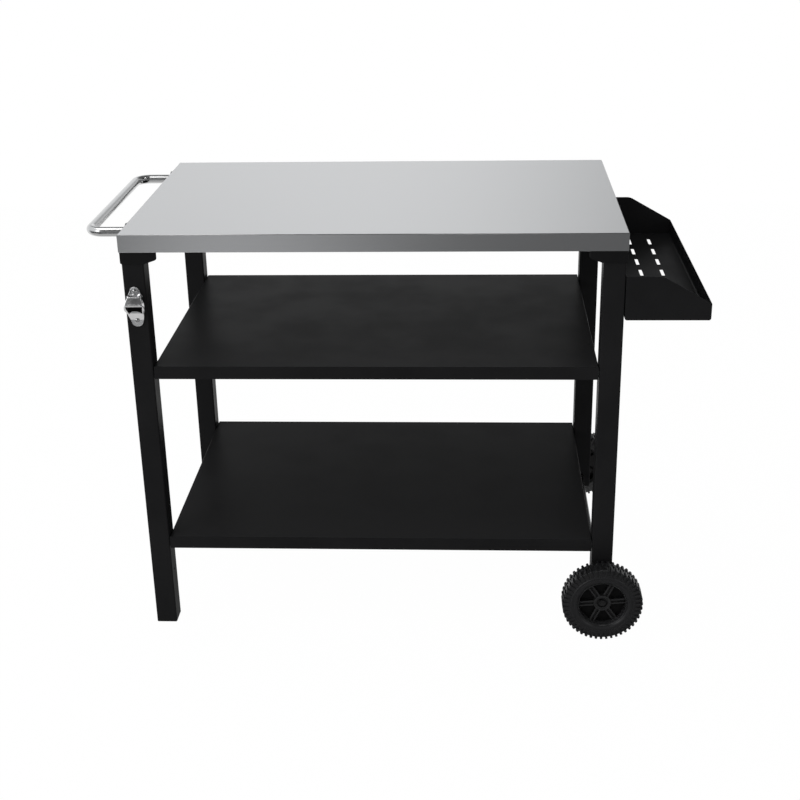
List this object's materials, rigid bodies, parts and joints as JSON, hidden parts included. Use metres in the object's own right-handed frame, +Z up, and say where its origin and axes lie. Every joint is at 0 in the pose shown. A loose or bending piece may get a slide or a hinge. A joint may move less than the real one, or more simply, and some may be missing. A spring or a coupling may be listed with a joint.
{
  "type": "grill cart",
  "caption": "Rolling grill cart: steel worktop on square legs, two shelves, push handle, slotted side tray, bottle opener and lugged wheels.",
  "frame": {"origin": "on the floor under the middle of the whole cart, handle and tray included", "axes": "+X along the cart from the handle to the side tray, +Y from the front to the back, +Z up"},
  "size_m": [1.2584, 0.728, 0.884],
  "materials": {
    "brushed_stainless": "satin brushed stainless sheet, grain along the length",
    "polished_stainless": "polished stainless tube",
    "satin_chrome": "chromed casting, slightly rough",
    "black_powder_coat": "satin black powder coat",
    "black_plastic": "moulded black plastic",
    "wheel_plastic": "moulded black plastic, satin",
    "tyre_rubber": "moulded black rubber",
    "zinc_steel": "zinc plated steel",
    "dark_steel": "blackened steel"
  },
  "bodies": {
    "cart": {"tabletop": "brushed_stainless", "top_stiffener_front": "zinc_steel", "top_stiffener_back": "zinc_steel", "top_nuts": "zinc_steel", "leg_front_left": "black_powder_coat", "leg_back_left": "black_powder_coat", "leg_front_right": "black_powder_coat", "leg_back_right": "black_powder_coat", "socket_front_left": "black_plastic", "socket_back_left": "black_plastic", "socket_front_right": "black_plastic", "socket_back_right": "black_plastic", "socket_screws": "zinc_steel", "foot_front_left": "black_plastic", "foot_back_left": "black_plastic", "plug_front_right": "black_plastic", "plug_back_right": "black_plastic", "middle_shelf": "black_powder_coat", "bottom_shelf": "black_powder_coat", "middle_shelf_stiffener": "black_powder_coat", "bottom_shelf_stiffener": "black_powder_coat", "middle_shelf_screws": "zinc_steel", "bottom_shelf_screws": "zinc_steel", "shelf_inserts": "zinc_steel", "handle": "polished_stainless", "handle_flange_front": "polished_stainless", "handle_flange_back": "polished_stainless", "handle_plugs": "zinc_steel", "handle_screws": "zinc_steel", "side_tray": "black_powder_coat", "tray_screws": "zinc_steel", "tray_inserts": "zinc_steel", "bottle_opener": "satin_chrome", "opener_screws": "satin_chrome", "axle": "zinc_steel", "axle_washers": "zinc_steel", "axle_nuts": "dark_steel"},
    "front_wheel": {"front_hub": "wheel_plastic", "front_tyre": "tyre_rubber"},
    "back_wheel": {"back_hub": "wheel_plastic", "back_tyre": "tyre_rubber"}
  },
  "joints": [
    {"name": "front_wheel_spin", "type": "hinge", "parent": "cart", "child": "front_wheel", "pos_m": [0.43645, -0.342, 0.085], "axis": [0, 1, 0], "continuous": true},
    {"name": "back_wheel_spin", "type": "hinge", "parent": "cart", "child": "back_wheel", "pos_m": [0.43645, 0.342, 0.085], "axis": [0, 1, 0], "continuous": true}
  ]
}
